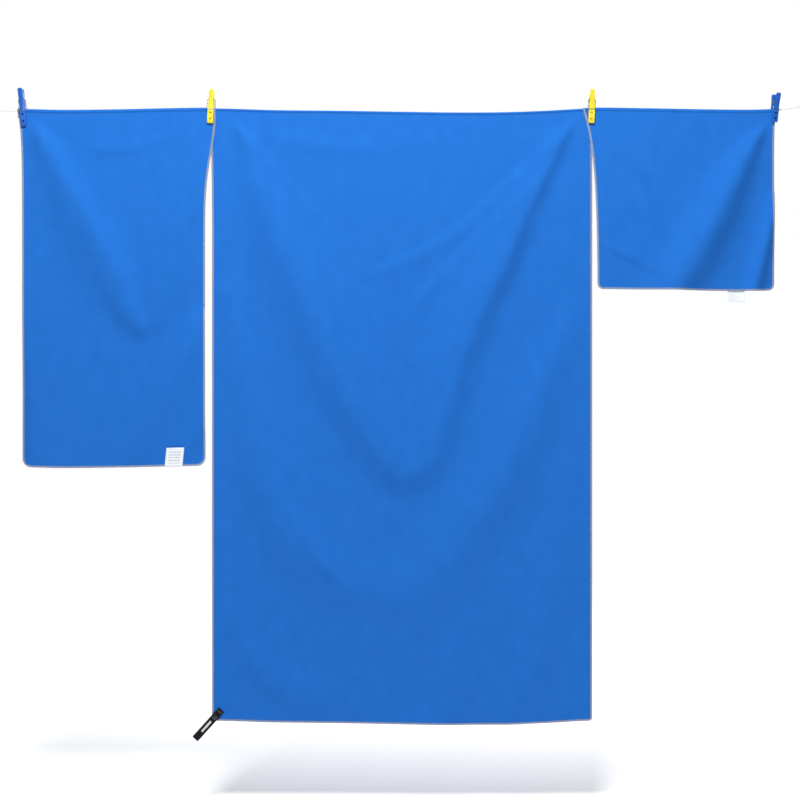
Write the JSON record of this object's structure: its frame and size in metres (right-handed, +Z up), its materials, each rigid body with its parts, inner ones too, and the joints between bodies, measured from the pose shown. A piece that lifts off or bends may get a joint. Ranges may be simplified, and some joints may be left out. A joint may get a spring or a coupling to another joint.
{
  "type": "quick dry towel",
  "caption": "Quick dry microfibre travel towels in large, medium and small, pegged side by side on a taut line, with overlocked edges, care labels and a snap hanging strap.",
  "frame": {"origin": "on the axis of the line, halfway between its two tied ends", "axes": "+X along the line to the viewer's right, -Y out of the towels' front, +Z up"},
  "size_m": [1.8115, 0.0443, 1.3702],
  "materials": {
    "microfibre": "brushed suede microfibre knit, matte, mid blue",
    "overlock_yarn": "overlocked light grey yarn",
    "line": "braided pale cord",
    "label_satin": "white satin tape, plain",
    "black_webbing": "woven black webbing with a plain pale stripe",
    "pale_thread": "pale bar tack stitching",
    "snap_metal": "black enamelled snap",
    "blue_plastic": "moulded blue plastic, satin",
    "yellow_plastic": "moulded yellow plastic, satin",
    "spring_wire": "galvanised spring wire"
  },
  "bodies": {
    "line_and_bands": {"clothes_line": "line", "left_end_loop": "line", "right_end_loop": "line", "large_towel_band": "microfibre", "medium_towel_band": "microfibre", "small_towel_band": "microfibre", "large_band_edging": "overlock_yarn", "medium_band_edging": "overlock_yarn", "small_band_edging": "overlock_yarn", "peg_1_spring": "spring_wire", "peg_2_spring": "spring_wire", "peg_3_spring": "spring_wire", "peg_4_spring": "spring_wire"},
    "large_drop": {"large_towel_drop": "microfibre", "large_drop_edging": "overlock_yarn", "strap_back": "black_webbing", "strap_bartack": "pale_thread", "snap_post": "snap_metal", "snap_stud": "snap_metal"},
    "medium_drop": {"medium_towel_drop": "microfibre", "medium_drop_edging": "overlock_yarn"},
    "small_drop": {"small_towel_drop": "microfibre", "small_drop_edging": "overlock_yarn"},
    "strap_flap": {"strap_flap": "black_webbing", "snap_socket": "snap_metal", "snap_cap": "snap_metal"},
    "medium_label": {"medium_care_label": "label_satin"},
    "small_label": {"small_care_label": "label_satin"},
    "peg_1_front": {"peg_1_front_lever": "blue_plastic"},
    "peg_1_back": {"peg_1_back_lever": "blue_plastic"},
    "peg_2_front": {"peg_2_front_lever": "yellow_plastic"},
    "peg_2_back": {"peg_2_back_lever": "yellow_plastic"},
    "peg_3_front": {"peg_3_front_lever": "yellow_plastic"},
    "peg_3_back": {"peg_3_back_lever": "yellow_plastic"},
    "peg_4_front": {"peg_4_front_lever": "blue_plastic"},
    "peg_4_back": {"peg_4_back_lever": "blue_plastic"}
  },
  "joints": [
    {"name": "large_swing", "type": "hinge", "parent": "line_and_bands", "child": "large_drop", "pos_m": [0.0044, -0.00075, -0.11847], "axis": [1, 0, 0], "range_deg": [-30, 30]},
    {"name": "medium_swing", "type": "hinge", "parent": "line_and_bands", "child": "medium_drop", "pos_m": [-0.6011, -0.00225, -0.11615], "axis": [1, 0, 0], "range_deg": [-30, 30]},
    {"name": "small_swing", "type": "hinge", "parent": "line_and_bands", "child": "small_drop", "pos_m": [0.6001, -0.00225, -0.11573], "axis": [1, 0, 0], "range_deg": [-30, 30]},
    {"name": "strap_unsnap", "type": "hinge", "parent": "large_drop", "child": "strap_flap", "pos_m": [-0.4284, -0.00582, -1.31202], "axis": [0.7431, 0, -0.6691], "range_deg": [0, 150]},
    {"name": "medium_label_flip", "type": "hinge", "parent": "medium_drop", "child": "medium_label", "pos_m": [-0.4755, -0.00303, -0.74302], "axis": [1, 0, 0], "range_deg": [0, 160]},
    {"name": "small_label_flip", "type": "hinge", "parent": "small_drop", "child": "small_label", "pos_m": [0.7051, -0.00272, -0.364], "axis": [1, 0, 0], "range_deg": [0, 60]},
    {"name": "peg_1_squeeze", "type": "hinge", "parent": "line_and_bands", "child": "peg_1_front", "pos_m": [-0.79409, 0, 0.02601], "axis": [-0.9957, 0, -0.0924], "range_deg": [0, 14], "stiffness_Nm_per_rad": 0.3, "springref_deg": -8.59, "deforming": ["peg_1_spring"]},
    {"name": "peg_1_back_follow", "type": "hinge", "parent": "line_and_bands", "child": "peg_1_back", "pos_m": [-0.79409, 0, 0.02601], "axis": [-0.9957, 0, -0.0924], "range_deg": [-14, 0]},
    {"name": "peg_2_squeeze", "type": "hinge", "parent": "line_and_bands", "child": "peg_2_front", "pos_m": [-0.39603, 0, 0.02614], "axis": [-0.9987, 0, 0.0506], "range_deg": [0, 14], "stiffness_Nm_per_rad": 0.3, "springref_deg": -8.59, "deforming": ["peg_2_spring"]},
    {"name": "peg_2_back_follow", "type": "hinge", "parent": "line_and_bands", "child": "peg_2_back", "pos_m": [-0.39603, 0, 0.02614], "axis": [-0.9987, 0, 0.0506], "range_deg": [-14, 0]},
    {"name": "peg_3_squeeze", "type": "hinge", "parent": "line_and_bands", "child": "peg_3_front", "pos_m": [0.40304, 0, 0.02615], "axis": [-0.999, 0, 0.0436], "range_deg": [0, 14], "stiffness_Nm_per_rad": 0.3, "springref_deg": -8.59, "deforming": ["peg_3_spring"]},
    {"name": "peg_3_back_follow", "type": "hinge", "parent": "line_and_bands", "child": "peg_3_back", "pos_m": [0.40304, 0, 0.02615], "axis": [-0.999, 0, 0.0436], "range_deg": [-14, 0]},
    {"name": "peg_4_squeeze", "type": "hinge", "parent": "line_and_bands", "child": "peg_4_front", "pos_m": [0.78854, 0.00041, 0.02162], "axis": [-0.9713, -0.2064, 0.1184], "range_deg": [0, 14], "stiffness_Nm_per_rad": 0.3, "springref_deg": -8.59, "deforming": ["peg_4_spring"]},
    {"name": "peg_4_back_follow", "type": "hinge", "parent": "line_and_bands", "child": "peg_4_back", "pos_m": [0.78854, 0.00041, 0.02162], "axis": [-0.9713, -0.2064, 0.1184], "range_deg": [-14, 0]}
  ],
  "couplings": [
    {"joint": "peg_1_back_follow", "follows": "peg_1_squeeze", "ratio": -1},
    {"joint": "peg_2_back_follow", "follows": "peg_2_squeeze", "ratio": -1},
    {"joint": "peg_3_back_follow", "follows": "peg_3_squeeze", "ratio": -1},
    {"joint": "peg_4_back_follow", "follows": "peg_4_squeeze", "ratio": -1}
  ]
}
